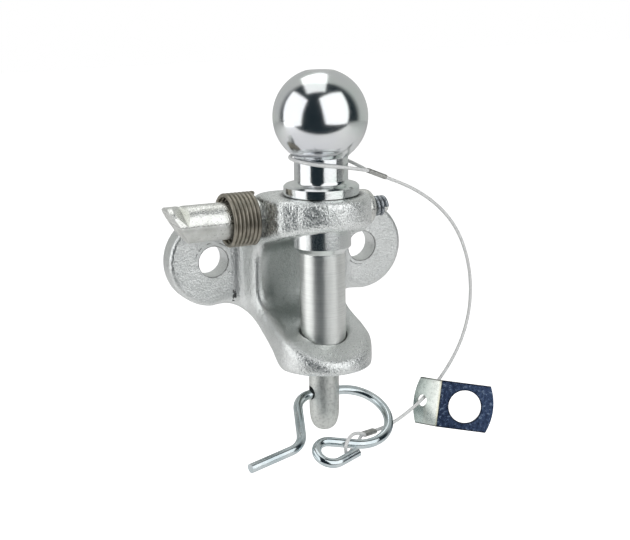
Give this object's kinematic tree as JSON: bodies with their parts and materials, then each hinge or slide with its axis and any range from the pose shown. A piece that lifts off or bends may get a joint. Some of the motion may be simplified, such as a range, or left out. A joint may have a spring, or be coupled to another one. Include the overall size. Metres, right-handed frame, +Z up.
{
  "type": "ball and pin hitch",
  "caption": "Towing hitch with a 50 mm ball on a drop pin held in a cast two-bolt jaw by a sprung cross spindle, with a wire clip tethered to the neck.",
  "frame": {"origin": "midway between the two bolt holes, on the back face of the mounting plate", "axes": "+Y points from the plate towards the vehicle, -Y towards the ball, +Z up along the pin, +X to the right seen from the ball's side"},
  "size_m": [0.1655, 0.1021, 0.2006],
  "materials": {
    "zinc_casting": "bright zinc over a grainy casting",
    "polished_steel": "polished plated steel",
    "zinc_spindle": "rough zinc",
    "spring_steel": "oiled brown grey",
    "dark_zinc": "blue passivated zinc",
    "bright_zinc": "bright blue zinc",
    "coated_wire": "clear coating over steel wire",
    "ferrule_metal": "pressed aluminium"
  },
  "bodies": {
    "hitch": {"hitch_body": "zinc_casting", "ball_pin": "polished_steel", "spindle_spring": "spring_steel", "tether_neck_loop": "coated_wire", "neck_ferrule": "ferrule_metal", "tether_cord": "coated_wire", "tether_tab": "bright_zinc"},
    "spindle": {"locking_spindle": "zinc_spindle", "spindle_end_coil": "dark_zinc"},
    "clip": {"retaining_clip": "bright_zinc", "tether_clip_loop": "coated_wire", "clip_ferrule": "ferrule_metal"}
  },
  "joints": [
    {"name": "spindle_turn", "type": "hinge", "parent": "hitch", "child": "spindle", "pos_m": [0, -0.036, 0.027], "axis": [1, 0, 0], "range_deg": [0, 90], "stiffness_Nm_per_rad": 0.3, "springref_deg": -20.05, "deforming": ["spindle_spring"]},
    {"name": "clip_swing", "type": "hinge", "parent": "hitch", "child": "clip", "pos_m": [0, -0.057, -0.06845], "axis": [1, 0, 0], "range_deg": [-30, 90], "deforming": ["tether_cord"]}
  ]
}
